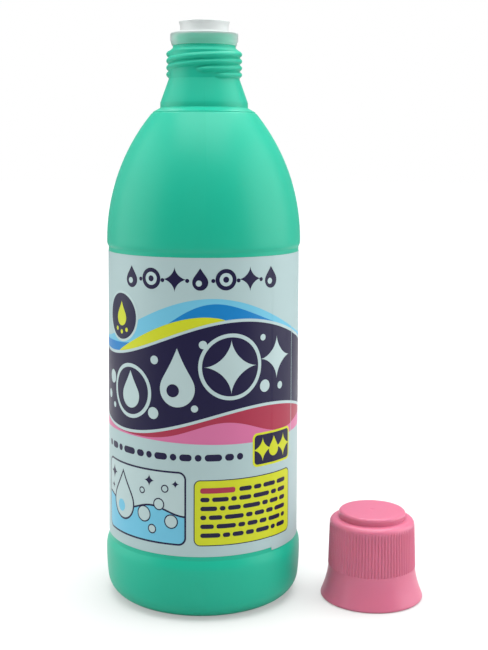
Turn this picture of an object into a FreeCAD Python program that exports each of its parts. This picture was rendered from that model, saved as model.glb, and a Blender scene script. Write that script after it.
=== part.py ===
import FreeCAD, Part
import math
import os

os.makedirs("parts", exist_ok=True)

Vector = FreeCAD.Vector

# Millimetres. The bottle's axis is Z and it stands on Z = 0. Its front faces -Y.
# Angles round the bottle are in degrees from the front towards +X.

# Bottle body, blown in one piece
shoulder_r = 37.5
base_flare = 0.5
recess_depth = 0.65
wall = 0.8
foot_in_r = 26.5
push_up = 4.0
base_corner = 8.0
bulge_z = 17.3
bulge_round = 90.0
bulge_land = 1.1
step_round = 9.0
panel_h = 112.9
overhang_round = 3.0
shoulder_land = 0.7
dome_h = 49.0

# Ledge, cone and neck above the dome
ledge_width = 2.9
ledge_rise = 1.63
cone_spread = 3.27
cone_wall = 1.0
band_h = 1.9
cone_h = 9.17
thread_zone_h = 10.68
neck_step_h = 1.75
neck_wall = 1.7
lip_h = 4.2
lip_r = 12.05
lip_bore_r = 10.9

# Neck thread: right-handed, its second start with a break
thread_starts = 2
thread_root_r = 13.7
thread_rise = 0.95
thread_lead = 5.2
thread_turns = 1.75
thread_start_deg = 17.5
thread_start_up = 0.65
break_from_turn = 0.26
break_to_turn = 0.42
ridge_foot = 1.9
ridge_tip = 0.5
ridge_sink = 0.35
ridge_fade_deg = 28.0
ridge_end_share = 0.2
sections_per_turn = 24

# Pouring plug, pressed into the neck
plug_gap = 0.03
plug_skirt_wall = 1.0
plug_skirt_drop = 3.9
plug_skirt_taper = 1.9
plug_skirt_edge = 0.3
plug_flange = 1.0
plug_edge = 0.45
spout_h = 4.4
spout_waist_r = 9.27
spout_swell = 0.5
spout_wall = 0.82
spout_mouth = 0.5
spout_mouth_h = 1.33
spout_lip = 0.4
spout_lip_round = 0.2
floor_drop = 0.9
floor_thick = 0.9
pour_hole_r = 4.0
seal_skirt_h = 6.0
seal_skirt_wall = 0.9
seal_skirt_lead = 0.5

# Label: one film wrapped round the recess, its outer end lapped over its inner end
label_gap = 0.03
label_thick = 0.12
label_margin_low = 1.7
label_margin_top = 1.6
seam_deg = 65.6
lap_deg = 19.9
lap_ramp_deg = 1.5
tail_drop = 1.2

# Cap, standing on its rim beside the bottle
cap_x = 65.9
cap_y = -9.0
cap_h = 33.8
cap_top_wall = 1.2
cap_disc_r = 12.9
cap_disc_wall = 1.2
cap_disc_edge = 0.6
cap_disc_rise = 2.6
cap_corner = 2.2
cap_wall = 1.1
cap_shoulder_wall = 1.3
rib_count = 84
rib_rise = 0.35
rib_spread = 0.5
rib_low_z = 12.4
rib_root = 0.1
rim_r = 19.74
rim_wall = 1.3
rim_round = 0.5
flare_start_out = 0.15
flare_sag = 0.37
cap_thread_gap = 0.3
cap_ridge_gap = 0.25
cap_thread_delay = 0.35
cap_thread_turns = 1.1
seal_ring_gap = 0.1
seal_ring_wall = 0.9
seal_ring_h = 3.0

# Heights and radii that follow from the sizes above
base_r = shoulder_r + base_flare
panel_r = shoulder_r - recess_depth
step_low_z = bulge_z + bulge_land
step_angle = math.acos(1 - (base_r - panel_r) / step_round)
panel_low_z = step_low_z + step_round * math.sin(step_angle)
panel_top_z = panel_low_z + panel_h
overhang_angle = math.acos(1 - recess_depth / overhang_round)
shoulder_low_z = panel_top_z + overhang_round * math.sin(overhang_angle)
dome_z = shoulder_low_z + shoulder_land
dome_edge_z = dome_z + dome_h
cone_foot_r = thread_root_r + cone_spread
dome_edge_r = cone_foot_r + ledge_width
dome_fall = shoulder_r - dome_edge_r
dome_round = (dome_h ** 2 + dome_fall ** 2) / (2 * dome_fall)
cone_foot_z = dome_edge_z + ledge_rise
cone_low_z = cone_foot_z + band_h
thread_low_z = cone_low_z + cone_h
thread_top_z = thread_low_z + thread_zone_h
lip_low_z = thread_top_z + neck_step_h
lip_top_z = lip_low_z + lip_h
thread_tip_r = thread_root_r + thread_rise
flange_top_z = lip_top_z + plug_flange
spout_top_z = flange_top_z + spout_h
spout_bore_r = spout_waist_r - spout_wall


def point_at(radius, height):
    return Vector(radius, 0, height)


def arc_step(centre_r, centre_z, radius, start, end):
    # middle and end point of an arc in the profile plane, angles in radians from the outward direction
    middle = (start + end) / 2
    return (centre_r + radius * math.cos(middle), centre_z + radius * math.sin(middle),
            centre_r + radius * math.cos(end), centre_z + radius * math.sin(end))


def sagging_arc(start, end, sag):
    # middle and end point of an arc that leaves the straight line to its right by the sag
    dr = end[0] - start[0]
    dz = end[1] - start[1]
    length = math.hypot(dr, dz)
    return ((start[0] + end[0]) / 2 + sag * dz / length, (start[1] + end[1]) / 2 - sag * dr / length,
            end[0], end[1])


def turned(start, steps):
    # solid of revolution about Z; a step is (radius, height), or (middle, end) of an arc as four numbers
    edges = []
    here = start
    for step in steps + [start]:
        there = step[-2:]
        if len(step) == 4:
            edges.append(Part.Arc(point_at(*here), point_at(*step[:2]), point_at(*there)).toShape())
        else:
            edges.append(Part.makeLine(point_at(*here), point_at(*there)))
        here = there
    face = Part.Face(Part.Wire(edges))
    return face.revolve(Vector(0, 0, 0), Vector(0, 0, 1), 360)


def around(radius, degrees, height):
    turn = math.radians(degrees)
    return Vector(radius * math.sin(turn), -radius * math.cos(turn), height)


def thread_ridge(root_r, tip_r, start_z, start_deg, turns):
    # helical ridge with a trapezium section whose height fades to nothing at both ends
    outward = math.copysign(1, tip_r - root_r)
    foot_r = root_r - outward * ridge_sink
    count = math.ceil(turns * sections_per_turn)
    sections = []
    for i in range(count + 1):
        turn = turns * i / count
        to_end = 360 * min(turn, turns - turn)
        share = ridge_end_share + (1 - ridge_end_share) * min(1, to_end / ridge_fade_deg)
        reach = foot_r + (tip_r - foot_r) * share
        middle = start_z + thread_lead * turn
        low = [(foot_r, -ridge_foot / 2), (reach, -ridge_tip / 2)]
        high = [(reach, ridge_tip / 2), (foot_r, ridge_foot / 2)]
        points = [around(radius, start_deg + 360 * turn, middle + up) for radius, up in low + high]
        sections.append(Part.makePolygon(points + points[:1]))
    return Part.makeLoft(sections, True, False)


def neck_ridges():
    start_z = thread_low_z + thread_start_up
    far_deg = thread_start_deg - 360 / thread_starts
    break_z = start_z + thread_lead * break_to_turn
    return [
        thread_ridge(thread_root_r, thread_tip_r, start_z, thread_start_deg, thread_turns),
        thread_ridge(thread_root_r, thread_tip_r, start_z, far_deg, break_from_turn),
        thread_ridge(thread_root_r, thread_tip_r, break_z, far_deg + 360 * break_to_turn,
                     thread_turns - break_to_turn),
    ]


def make_bottle():
    right_angle = math.pi / 2
    bulge_centre_r = base_r - bulge_round
    corner_angle = -math.asin((bulge_z - base_corner) / (bulge_round - base_corner))
    foot_out_r = bulge_centre_r + (bulge_round - base_corner) * math.cos(corner_angle)
    push_round = (foot_in_r ** 2 + push_up ** 2) / (2 * push_up)
    push_angle = math.asin(foot_in_r / push_round)
    push_z = push_up - push_round
    dome_centre_r = shoulder_r - dome_round
    dome_angle = math.asin(dome_h / dome_round)
    cone_bore_r = cone_foot_r - cone_wall
    inner_dome = dome_round - wall
    inner_angle = math.asin((dome_h - wall) / inner_dome)
    inner_dome_edge_r = dome_centre_r + inner_dome * math.cos(inner_angle)
    thread_bore_r = thread_root_r - neck_wall
    outside = [
        arc_step(0, push_z, push_round, right_angle, right_angle - push_angle),
        (foot_out_r, 0),
        arc_step(foot_out_r, base_corner, base_corner, -right_angle, corner_angle),
        arc_step(bulge_centre_r, bulge_z, bulge_round, corner_angle, 0),
        (base_r, step_low_z),
        arc_step(base_r - step_round, step_low_z, step_round, 0, step_angle),
        (panel_r, panel_top_z),
        arc_step(shoulder_r - overhang_round, shoulder_low_z, overhang_round, -overhang_angle, 0),
        (shoulder_r, dome_z),
        arc_step(dome_centre_r, dome_z, dome_round, 0, dome_angle),
        (cone_foot_r, cone_foot_z),
        (cone_foot_r, cone_low_z),
        (thread_root_r, thread_low_z),
        (thread_root_r, thread_top_z),
        (lip_r, lip_low_z),
        (lip_r, lip_top_z),
    ]
    inside = [
        (lip_bore_r, lip_top_z),
        (lip_bore_r, thread_top_z),
        (thread_bore_r, thread_top_z - neck_step_h),
        (thread_bore_r, thread_low_z),
        (cone_bore_r, cone_low_z),
        (cone_bore_r, cone_foot_z - wall),
        (inner_dome_edge_r, dome_edge_z - wall),
        arc_step(dome_centre_r, dome_z, inner_dome, inner_angle, 0),
        (shoulder_r - wall, shoulder_low_z),
        (panel_r - wall, panel_top_z),
        (panel_r - wall, panel_low_z),
        (base_r - wall, step_low_z),
        (base_r - wall, bulge_z),
        arc_step(bulge_centre_r, bulge_z, bulge_round - wall, 0, corner_angle),
        arc_step(foot_out_r, base_corner, base_corner - wall, corner_angle, -right_angle),
        (foot_in_r, wall),
        arc_step(0, push_z + wall, push_round, right_angle - push_angle, right_angle),
    ]
    body = turned((0, push_up), outside + inside)
    return body.fuse(neck_ridges()).removeSplitter()


def make_plug():
    skirt_in_r = lip_r + plug_gap
    flange_r = skirt_in_r + plug_skirt_wall
    skirt_low_z = lip_top_z - plug_skirt_drop
    spout_r = spout_waist_r + spout_swell
    lip_z = spout_top_z - spout_lip
    mouth_z = spout_top_z - spout_mouth_h
    floor_z = flange_top_z - floor_drop
    seal_r = lip_bore_r - plug_gap
    seal_low_z = lip_top_z - seal_skirt_h
    seal_in_r = seal_r - seal_skirt_wall
    return turned((skirt_in_r, skirt_low_z), [
        (skirt_in_r + plug_skirt_edge, skirt_low_z),
        (flange_r, skirt_low_z + plug_skirt_taper),
        (flange_r, flange_top_z - plug_edge),
        arc_step(flange_r - plug_edge, flange_top_z - plug_edge, plug_edge, 0, math.pi / 2),
        (spout_r, flange_top_z),
        (spout_waist_r, (flange_top_z + lip_z) / 2, spout_r, lip_z),
        (spout_r, spout_top_z - spout_lip_round),
        (spout_r - spout_lip_round, spout_top_z),
        (spout_bore_r + spout_mouth, spout_top_z),
        (spout_bore_r, mouth_z),
        (spout_bore_r, floor_z),
        (pour_hole_r, floor_z),
        (pour_hole_r, floor_z - floor_thick),
        (seal_in_r, floor_z - floor_thick),
        (seal_in_r, seal_low_z),
        (seal_r - seal_skirt_lead, seal_low_z),
        (seal_r, seal_low_z + seal_skirt_lead),
        (seal_r, lip_top_z),
        (skirt_in_r, lip_top_z),
    ])


def arc_round(radius, from_deg, to_deg):
    middle = (from_deg + to_deg) / 2
    return Part.Arc(around(radius, from_deg, 0), around(radius, middle, 0), around(radius, to_deg, 0)).toShape()


def film(inner, outer):
    # flat face between two lists of (radius, from angle, to angle), joined by straight edges
    edges = []
    for radius, from_deg, to_deg in inner + [(r, b, a) for r, a, b in reversed(outer)]:
        arc = arc_round(radius, from_deg, to_deg)
        start = around(radius, from_deg, 0)
        if edges:
            edges.append(Part.makeLine(here, start))
        edges.append(arc)
        here = around(radius, to_deg, 0)
    edges.append(Part.makeLine(here, around(inner[0][0], inner[0][1], 0)))
    return Part.Face(Part.Wire(edges))


def make_label():
    in_r = panel_r + label_gap
    out_r = in_r + label_thick
    low_z = panel_low_z + label_margin_low
    top_z = panel_top_z - label_margin_top
    lap_from = seam_deg - lap_deg
    back_deg = seam_deg - 180
    flat_to = lap_from - lap_ramp_deg
    front = film(
        [(in_r, back_deg, flat_to), (out_r, lap_from, seam_deg)],
        [(out_r, back_deg, flat_to), (out_r + label_thick, lap_from, seam_deg)],
    )
    front = front.extrude(Vector(0, 0, top_z - low_z))
    front.translate(Vector(0, 0, low_z))
    back = film([(in_r, lap_from, back_deg + 360)], [(out_r, lap_from, back_deg + 360)])
    back = back.extrude(Vector(0, 0, top_z - low_z + tail_drop))
    back.translate(Vector(0, 0, low_z - tail_drop))
    # the back half's lower edge slopes from the low tail at the seam up to the front half's edge
    reach = 2 * out_r
    slope = tail_drop / (2 * out_r)
    middle_z = low_z - tail_drop / 2
    under = low_z - 2 * reach
    far_z = middle_z + slope * reach
    near_z = middle_z - slope * reach
    corners = [(-reach, far_z), (reach, near_z), (reach, under), (-reach, under)]
    points = [Vector(0, -along, height) for along, height in corners]
    trim = Part.Face(Part.makePolygon(points + points[:1])).extrude(Vector(2 * reach, 0, 0))
    trim.translate(Vector(-reach, 0, 0))
    trim.rotate(Vector(0, 0, 0), Vector(0, 0, 1), seam_deg)
    return front.fuse(back.cut(trim)).removeSplitter()


def rib_wire(valley_r, tip_r, height):
    step = 180 / rib_count
    points = []
    for i in range(rib_count):
        points.append(around(tip_r, 2 * i * step, height))
        points.append(around(valley_r, (2 * i + 1) * step, height))
    return Part.makePolygon(points + points[:1])


def make_cap():
    bore_r = thread_tip_r + cap_thread_gap
    valley_r = bore_r + cap_wall
    disc_under_z = cap_h - cap_top_wall
    shoulder_z = cap_h - cap_disc_rise
    rib_top_z = shoulder_z - cap_corner
    edge_r = valley_r + rib_rise
    core_r = bore_r + cap_wall / 2
    flare_r = valley_r + rib_spread + flare_start_out
    disc_bore_r = cap_disc_r - cap_disc_wall
    shoulder_under_z = shoulder_z - cap_shoulder_wall
    ring_r = spout_bore_r - seal_ring_gap
    ring_low_z = disc_under_z - seal_ring_h
    rim_in_r = rim_r - rim_wall
    quarter = math.pi / 2
    shell = turned((rim_r - rim_round, 0), [
        arc_step(rim_r - rim_round, rim_round, rim_round, -quarter, 0),
        sagging_arc((rim_r, rim_round), (flare_r, rib_low_z), -flare_sag),
        (core_r, rib_low_z),
        (core_r, rib_top_z),
        (edge_r, rib_top_z),
        arc_step(edge_r - cap_corner, rib_top_z, cap_corner, 0, quarter),
        (cap_disc_r, shoulder_z),
        (cap_disc_r, cap_h - cap_disc_edge),
        arc_step(cap_disc_r - cap_disc_edge, cap_h - cap_disc_edge, cap_disc_edge, 0, quarter),
        (0, cap_h),
        (0, disc_under_z),
        (ring_r - seal_ring_wall, disc_under_z),
        (ring_r - seal_ring_wall, ring_low_z),
        (ring_r, ring_low_z),
        (ring_r, disc_under_z),
        (disc_bore_r, disc_under_z),
        (disc_bore_r, shoulder_under_z),
        (bore_r, shoulder_under_z),
        (bore_r, rib_low_z),
        sagging_arc((bore_r, rib_low_z), (rim_in_r, 0), flare_sag),
    ])
    ribs = Part.makeLoft([
        rib_wire(valley_r + rib_spread, edge_r + rib_spread, rib_low_z),
        rib_wire(valley_r, edge_r, rib_top_z),
    ], True, True)
    ribs = ribs.cut(Part.makeCylinder(core_r - rib_root, cap_h))
    closed_z = spout_top_z - disc_under_z
    # closed, each ridge of the cap lies midway between two ridges of the neck
    between_ridges = thread_lead / (2 * thread_starts)
    first_z = thread_low_z + thread_start_up - closed_z
    ridge_z = first_z + thread_lead * cap_thread_delay - between_ridges
    ridge_deg = thread_start_deg + 360 * cap_thread_delay
    tip_r = thread_root_r + cap_ridge_gap
    ridges = []
    for i in range(thread_starts):
        start_deg = ridge_deg + 360 * i / thread_starts
        ridges.append(thread_ridge(bore_r, tip_r, ridge_z, start_deg, cap_thread_turns))
    cap = shell.fuse(ridges).fuse(ribs).removeSplitter()
    cap.translate(Vector(cap_x, cap_y, 0))
    return cap


pieces = {
    "bottle": make_bottle(),
    "pouring_plug": make_plug(),
    "label": make_label(),
    "cap": make_cap(),
}
for name, shape in pieces.items():
    box = shape.optimalBoundingBox(False)
    print(name, shape.ShapeType, "solids", len(shape.Solids), "valid", shape.isValid(),
          "volume %.1f" % shape.Volume, "faces", len(shape.Faces),
          "x %.2f %.2f y %.2f %.2f z %.2f %.2f" % (box.XMin, box.XMax, box.YMin, box.YMax, box.ZMin, box.ZMax))
    shape.exportStep("parts/" + name + ".step")
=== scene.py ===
import math

import bpy
import numpy as np
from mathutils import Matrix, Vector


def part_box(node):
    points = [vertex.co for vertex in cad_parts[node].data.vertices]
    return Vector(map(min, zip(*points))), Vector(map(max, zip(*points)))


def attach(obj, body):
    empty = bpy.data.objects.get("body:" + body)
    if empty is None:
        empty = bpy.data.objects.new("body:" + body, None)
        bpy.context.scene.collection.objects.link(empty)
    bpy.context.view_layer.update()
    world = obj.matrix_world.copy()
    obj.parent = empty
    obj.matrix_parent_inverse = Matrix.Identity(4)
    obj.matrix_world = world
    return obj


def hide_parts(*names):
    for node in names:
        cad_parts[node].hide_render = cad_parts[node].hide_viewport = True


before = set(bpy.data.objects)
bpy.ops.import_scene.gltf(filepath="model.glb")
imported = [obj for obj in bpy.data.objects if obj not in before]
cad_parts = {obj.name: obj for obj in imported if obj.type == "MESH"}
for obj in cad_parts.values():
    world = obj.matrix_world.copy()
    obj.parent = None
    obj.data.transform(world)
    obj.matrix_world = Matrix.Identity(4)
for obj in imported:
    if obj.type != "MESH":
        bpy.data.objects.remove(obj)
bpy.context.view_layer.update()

mm = 0.001
turn = 2 * math.pi
rightAngle = math.pi / 2
sharpEdge = math.radians(35)  # film and print keep edges sharper than this


def cornersOf(node):
    # low and high corner of a CAD node's box, in millimetres
    low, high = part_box(node)
    return np.array(low) / mm, np.array(high) / mm


# Shapes. Sizes are in millimetres, profiles are rows of (radius, height),
# and angles run round the bottle from its front (-Y) towards +X.


def arc(centreR, centreZ, radius, start, end, count=90):
    # points on a circle, from one angle to another, in radians from the outward direction
    angles = np.linspace(start, end, count)
    return np.stack([centreR + radius * np.cos(angles), centreZ + radius * np.sin(angles)], 1)


def saggingArc(start, end, sag, count=60):
    # straight line between two points plus a parabola that leaves it to the right by the sag
    start = np.array(start, float)
    end = np.array(end, float)
    share = np.linspace(0, 1, count)[:, None]
    way = end - start
    side = np.array([way[1], -way[0]]) / np.hypot(*way)
    return start + way * share + side * sag * 4 * share * (1 - share)


def profile(*stretches):
    # single points and rows of points, joined in order
    return np.concatenate([np.atleast_2d(np.array(stretch, float)) for stretch in stretches])


def softened(points, softness, closed, step=0.04):
    # the profile at even steps, averaged with a bell curve, so that each corner gets a small round
    if closed:
        points = np.concatenate([points, points[:1]])
    lengths = np.hypot(*np.diff(points, axis=0).T)
    keep = np.concatenate([[True], lengths > 1e-9])  # no doubled points
    points = points[keep]
    travelled = np.concatenate([[0], np.cumsum(lengths[keep[1:]])])
    places = np.linspace(0, travelled[-1], int(travelled[-1] / step) + 1)
    even = np.stack([np.interp(places, travelled, points[:, k]) for k in (0, 1)], 1)
    reach = int(3 * softness / step) + 1
    bell = np.exp(-0.5 * (np.arange(-reach, reach + 1) * step / softness) ** 2)
    bell /= bell.sum()
    if closed:
        even = even[:-1]
        padded = np.concatenate([even[-reach:], even, even[:reach]])
    else:
        mirror = np.array([-1, 1])
        padded = np.concatenate([even[reach:0:-1] * mirror, even, even[-2:-reach - 2:-1] * mirror])
    return np.stack([np.convolve(padded[:, k], bell, "valid") for k in (0, 1)], 1)


def rowsAlong(points, closed, widest, sharpest, finer=None):
    # picks rows closer together where the profile bends, or where finer asks for a step in mm
    ahead = np.roll(points, -1, 0) - points
    behind = points - np.roll(points, 1, 0)
    length = np.hypot(*ahead.T)
    turned = np.arctan2(*ahead.T[::-1]) - np.arctan2(*behind.T[::-1])
    bend = np.abs(np.angle(np.exp(1j * turned)))
    if not closed:
        length[-1] = 0
        bend[[0, -1]] = 0
    weight = length / widest + bend / sharpest
    if finer is not None:
        weight = weight + length * finer(points)
    total = np.concatenate([[0], np.cumsum(weight)])
    count = int(total[-1]) + 1
    if closed:
        points = np.concatenate([points, points[:1]])
        places = np.arange(count) * total[-1] / count
        return np.stack([np.interp(places, total, points[:, k]) for k in (0, 1)], 1)
    places = np.linspace(0, total[-2], count)
    return np.stack([np.interp(places, total[:-1], points[:, k]) for k in (0, 1)], 1)


def addMesh(name, points, faces):
    # one mesh from a point array and face arrays; turned the right way out by its signed volume
    corners = np.concatenate([part.reshape(-1) for part in faces])
    sizes = np.concatenate([np.full(len(part), part.shape[1]) for part in faces])
    starts = np.concatenate([[0], np.cumsum(sizes)[:-1]])
    first = [part[:, :3] for part in faces]
    first += [part[:, [0, 2, 3]] for part in faces if part.shape[1] == 4]
    a, b, c = points[np.concatenate(first)].transpose(1, 0, 2)
    if np.einsum("ij,ij->", a, np.cross(b, c)) < 0:
        corners = np.concatenate([part[:, ::-1].reshape(-1) for part in faces])
    mesh = bpy.data.meshes.new(name)
    mesh.vertices.add(len(points))
    mesh.vertices.foreach_set("co", (points * mm).astype(np.float32).reshape(-1))
    mesh.loops.add(len(corners))
    mesh.loops.foreach_set("vertex_index", corners.astype(np.int32))
    mesh.polygons.add(len(sizes))
    mesh.polygons.foreach_set("loop_start", starts.astype(np.int32))
    mesh.update(calc_edges=True)
    mesh.validate()
    mesh.shade_smooth()
    piece = bpy.data.objects.new(name, mesh)
    bpy.context.scene.collection.objects.link(piece)
    triangles = int((sizes - 2).sum())
    print(name, "has", triangles, "triangles")
    return piece


def placed(radius, theta, height):
    # point at a radius and an angle from the front, as x, y, z
    return np.stack(np.broadcast_arrays(radius * np.sin(theta), -radius * np.cos(theta), height), -1)


def turnedPiece(name, radius, height, theta, closed, centre=(0, 0)):
    # rows of rings round Z: radius and height are rows by columns; an open profile closes at two poles
    rows, columns = np.broadcast_shapes(radius.shape, height.shape, (1, len(theta)))
    points = placed(radius, theta[None, :], height + np.zeros((rows, columns)))
    i = np.arange(rows if closed else rows - 1)[:, None]
    j = np.arange(columns)[None, :]
    right = (j + 1) % columns
    above = (i + 1) % rows
    quads = np.stack(np.broadcast_arrays(i * columns + j, i * columns + right,
                                         above * columns + right, above * columns + j), -1).reshape(-1, 4)
    points = points.reshape(-1, 3)
    faces = [quads]
    if not closed:
        poles = [[0, 0, height[0].mean()], [0, 0, height[-1].mean()]]
        points = np.concatenate([points, poles])
        start = np.full(columns, rows * columns)
        ring = np.arange(columns)
        around = (ring + 1) % columns
        last = (rows - 1) * columns
        faces.append(np.stack([start, around, ring], 1))
        faces.append(np.stack([start + 1, last + ring, last + around], 1))
    points = points + np.array([centre[0], centre[1], 0])
    return addMesh(name, points, faces)


def smoothStep(value):
    # 0 below 0, 1 above 1, and an S curve between
    value = np.clip(value, 0, 1)
    return value * value * (3 - 2 * value)


def faded(height, low, high, atLow, atHigh):
    # S curves in and out: each pair is the distance from the low or high edge, and the length of the fade
    rising = smoothStep((height - low - atLow[0]) / atLow[1])
    return rising * smoothStep((high - atHigh[0] - height) / atHigh[1])


def threadRidge(theta, height, thread, startZ, startDeg, turns):
    # share of the ridge's rise at each point: across the helix a hyperbola, so two flanks and a round
    # tip; sunk along a sine at both ends, and 0 past them
    share = np.zeros(np.broadcast_shapes(theta.shape, height.shape))
    tip = thread["tipRound"]
    for lap in range(-2, 4):
        wound = theta / turn - startDeg / 360 + lap  # turns from the ridge's start
        middle = startZ + thread["lead"] * wound
        across = np.clip(np.abs(height - middle) / (thread["foot"] / 2), 0, 1)
        crest = 1 - (np.hypot(across, tip) - tip) / (math.hypot(1, tip) - tip)
        toEnd = np.minimum(wound, turns - wound) * 360
        sunk = 1 - np.sin(np.clip(toEnd / thread["fadeDeg"], 0, 1) * rightAngle)
        share = np.maximum(share, crest - sunk)
    return share


# Materials

noiseDetail = {"patch": 2.0, "rough": 3.0, "grain": 3.0}
roughPerPatch = 3.1  # the roughness varies on a smaller scale than the tone


def newMaterial(name):
    material = bpy.data.materials.new(name)
    material.use_nodes = True
    nodes = material.node_tree.nodes
    return material, nodes, material.node_tree.links, nodes["Principled BSDF"]


def noiseOn(nodes, links, scale, detail):
    # noise on object coordinates
    coordinates = nodes.new("ShaderNodeTexCoord")
    noise = nodes.new("ShaderNodeTexNoise")
    noise.inputs["Scale"].default_value = scale
    noise.inputs["Detail"].default_value = detail
    links.new(coordinates.outputs["Object"], noise.inputs["Vector"])
    return noise.outputs["Fac"]


def rangeOf(nodes, links, value, low, high, fromLow=0.1, fromHigh=0.9):
    # spreads a value over a new range; a noise hardly leaves 0.1 to 0.9
    spread = nodes.new("ShaderNodeMapRange")
    spread.inputs["From Min"].default_value = fromLow
    spread.inputs["From Max"].default_value = fromHigh
    spread.inputs["To Min"].default_value = low
    spread.inputs["To Max"].default_value = high
    links.new(value, spread.inputs["Value"])
    return spread.outputs["Result"]


def plastic(name, look):
    # moulded plastic: two near tones in a slow noise, roughness in another, and a fine grain as bump
    material, nodes, links, shader = newMaterial(name)
    mix = nodes.new("ShaderNodeMix")
    mix.data_type = "RGBA"
    mix.inputs["A"].default_value = (*look["colour"], 1)
    mix.inputs["B"].default_value = (*look["tone"], 1)
    slow = noiseOn(nodes, links, look["patchScale"], noiseDetail["patch"])
    links.new(rangeOf(nodes, links, slow, 0, 1), mix.inputs["Factor"])
    links.new(mix.outputs["Result"], shader.inputs["Base Color"])
    rough = noiseOn(nodes, links, look["patchScale"] * roughPerPatch, noiseDetail["rough"])
    low, high = look["roughness"]
    links.new(rangeOf(nodes, links, rough, low, high), shader.inputs["Roughness"])
    bump = nodes.new("ShaderNodeBump")
    bump.inputs["Strength"].default_value = look["grainStrength"]
    bump.inputs["Distance"].default_value = look["grainDepth"] * mm
    grain = noiseOn(nodes, links, look["grainScale"], noiseDetail["grain"])
    links.new(grain, bump.inputs["Height"])
    links.new(bump.outputs["Normal"], shader.inputs["Normal"])
    shader.inputs["Specular IOR Level"].default_value = look["specular"]
    shader.inputs["IOR"].default_value = look.get("ior", 1.5)
    shader.inputs["Subsurface Weight"].default_value = look.get("soft", 0.0)
    shader.inputs["Subsurface Scale"].default_value = look.get("softDepth", 1.0) * mm
    shader.inputs["Transmission Weight"].default_value = look.get("clear", 0.0)
    return material


def finished(piece, material, slot, *replaced):
    # material and body of a new piece, and the CAD node that it stands for; the slot argument is not used
    piece.data.materials.append(material)
    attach(piece, "root")
    if replaced:
        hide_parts(*replaced)


# Camera, floor, sky and lamps

view = {
    "place": (15.5, -445.8, 172.1),  # mm
    "pitchDown": 4.0,
    "rollDeg": 0.25,
    "focalPixels": 1146.0,
    "frameHigh": 650,
    "horizonUp": 93,  # pixels from the middle of the frame
    "sensorWide": 36,
    "clip": (0.01, 50),  # m
}


def makeCamera():
    camera = bpy.data.objects.new("camera", bpy.data.cameras.new("camera"))
    bpy.context.scene.collection.objects.link(camera)
    camera.location = [value * mm for value in view["place"]]
    camera.rotation_euler = (math.radians(90 - view["pitchDown"]), math.radians(-view["rollDeg"]), 0)
    camera.data.sensor_width = view["sensorWide"]
    camera.data.lens = view["sensorWide"] * view["focalPixels"] / view["frameHigh"]
    camera.data.shift_y = -view["horizonUp"] / view["frameHigh"]
    camera.data.clip_start, camera.data.clip_end = view["clip"]
    bpy.context.scene.camera = camera


studio = {
    "floorAcross": 12.0,
    "floorDown": 0.00002,
    "floorAlbedo": 0.62,
    "floorShown": 0.50,
    "glowNear": 0.36,
    "glowFar": 0.98,
    "glowFrom": 0.16,
    "glowTo": 0.75,
    "skyGrey": 0.27,
    "reflectedShare": 0.12,
    "lamps": {
        # name: place, width and height in metres, watts, colour
        "leftPanel": ((-0.62, -0.02, 0.3), (0.75, 0.8), 2.9, (1.0, 0.99, 0.98)),
        "rightPanel": ((0.66, -0.04, 0.3), (0.75, 0.8), 4.0, (1.0, 0.99, 0.98)),
        "topPanel": ((0.03, 0.05, 0.74), (0.75, 1.0), 8.8, (1.0, 1.0, 1.0)),
        "frontFill": ((-0.2, -1.3, 0.7), (0.6, 0.6), 0.4, (1.0, 1.0, 1.0)),
    },
    "aim": (0.02, -0.01, 0.1),
}


def seenRays(nodes, links):
    # 1 for rays from the camera and through clear plastic, a share in satin reflections, 0 for the light
    path = nodes.new("ShaderNodeLightPath")
    share = nodes.new("ShaderNodeMath")
    share.operation = "MULTIPLY"
    share.inputs[1].default_value = studio["reflectedShare"]
    links.new(path.outputs["Is Glossy Ray"], share.inputs[0])
    total = share.outputs["Value"]
    for name in ("Is Camera Ray", "Is Transmission Ray"):
        add = nodes.new("ShaderNodeMath")
        add.operation = "MAXIMUM"
        links.new(total, add.inputs[0])
        links.new(path.outputs[name], add.inputs[1])
        total = add.outputs["Value"]
    return total


def makeFloor():
    half = studio["floorAcross"] / 2
    down = studio["floorDown"]
    corners = [(-half, -half, -down), (half, -half, -down), (half, half, -down), (-half, half, -down)]
    mesh = bpy.data.meshes.new("floor")
    mesh.from_pydata(corners, [], [(0, 1, 2, 3)])
    floor = bpy.data.objects.new("floor", mesh)
    bpy.context.scene.collection.objects.link(floor)
    material, nodes, links, shader = newMaterial("paleFloor")
    nodes.remove(shader)
    # the camera sees a darker floor with a glow, which keeps the shadows as light as the photo's
    seen = seenRays(nodes, links)
    diffuse = nodes.new("ShaderNodeBsdfDiffuse")
    links.new(rangeOf(nodes, links, seen, studio["floorAlbedo"], studio["floorShown"], 0, 1),
              diffuse.inputs["Color"])
    glow = nodes.new("ShaderNodeEmission")
    strength = nodes.new("ShaderNodeMath")
    strength.operation = "MULTIPLY"
    # the glow grows away from the object, so that the floor is white out to its edge
    coordinates = nodes.new("ShaderNodeTexCoord")
    distance = nodes.new("ShaderNodeVectorMath")
    distance.operation = "LENGTH"
    links.new(coordinates.outputs["Object"], distance.inputs[0])
    links.new(rangeOf(nodes, links, distance.outputs["Value"], studio["glowNear"], studio["glowFar"],
                      studio["glowFrom"], studio["glowTo"]), strength.inputs[1])
    links.new(seen, strength.inputs[0])
    links.new(strength.outputs["Value"], glow.inputs["Strength"])
    both = nodes.new("ShaderNodeAddShader")
    links.new(diffuse.outputs["BSDF"], both.inputs[0])
    links.new(glow.outputs["Emission"], both.inputs[1])
    links.new(both.outputs["Shader"], nodes["Material Output"].inputs["Surface"])
    mesh.materials.append(material)


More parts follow.
